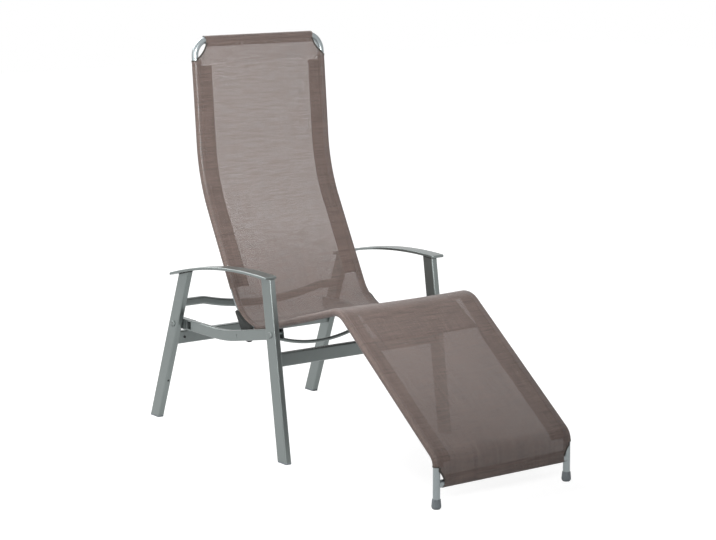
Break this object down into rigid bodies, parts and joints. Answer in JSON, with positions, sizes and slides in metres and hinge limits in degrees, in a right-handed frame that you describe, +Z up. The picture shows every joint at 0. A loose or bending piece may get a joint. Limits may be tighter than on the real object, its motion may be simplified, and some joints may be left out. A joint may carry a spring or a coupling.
{
  "type": "sun lounger",
  "caption": "Tilting garden lounger: an aluminium stand with arched armrests carries an S-shaped tubular shell with a woven sling, which rocks back on side pivots.",
  "frame": {"origin": "on the floor, under the middle of the whole lounger's bounding box, with the shell upright and its feet on the floor", "axes": "+Z up, -Y towards the sitter's feet, +X towards the sitter's left hand"},
  "size_m": [0.652, 1.3535, 1.1825],
  "materials": {
    "stand_paint": "satin silver-grey powder coat on aluminium profile",
    "tube_aluminium": "brushed and clear-anodised round tube",
    "woven_sling": "taupe open weave of coated yarn, slightly see-through, doubled at the hems",
    "black_plastic": "moulded black polyamide",
    "grey_plastic": "moulded grey polyamide",
    "steel": "stainless steel fasteners"
  },
  "bodies": {
    "stand": {"left_front_leg": "stand_paint", "right_front_leg": "stand_paint", "left_rear_leg": "stand_paint", "right_rear_leg": "stand_paint", "left_armrest": "stand_paint", "right_armrest": "stand_paint", "left_side_rail": "stand_paint", "right_side_rail": "stand_paint", "left_rail_bracket": "stand_paint", "right_rail_bracket": "stand_paint", "front_crossbar": "stand_paint", "rear_crossbar": "stand_paint", "stop_bar": "stand_paint", "front_leg_foot_plugs": "grey_plastic", "rear_leg_foot_plugs": "grey_plastic", "front_leg_top_plugs": "black_plastic", "rear_leg_top_plugs": "black_plastic", "front_armrest_screws": "steel", "rear_armrest_screws": "steel", "rail_bolts": "steel", "rail_nuts": "steel", "bolt_caps": "grey_plastic", "button_screws": "steel", "left_pivot_pin": "steel", "right_pivot_pin": "steel", "pin_retainers": "steel"},
    "shell": {"left_side_tube": "tube_aluminium", "right_side_tube": "tube_aluminium", "head_bow": "tube_aluminium", "head_spigots": "tube_aluminium", "foot_bar": "tube_aluminium", "seat_rod": "stand_paint", "left_foot_cap": "grey_plastic", "right_foot_cap": "grey_plastic", "left_pivot_plate": "tube_aluminium", "right_pivot_plate": "tube_aluminium", "left_pivot_cover": "black_plastic", "right_pivot_cover": "black_plastic", "left_pivot_bush": "black_plastic", "right_pivot_bush": "black_plastic", "sling": "woven_sling", "left_sling_tunnel": "woven_sling", "right_sling_tunnel": "woven_sling", "head_hem": "woven_sling", "foot_hem": "woven_sling", "knee_lining": "woven_sling"}
  },
  "joints": [
    {"name": "shell_tilt", "type": "hinge", "parent": "stand", "child": "shell", "pos_m": [0, 0.21, 0.32704], "axis": [-1, 0, 0], "range_deg": [0, 40.5]}
  ]
}
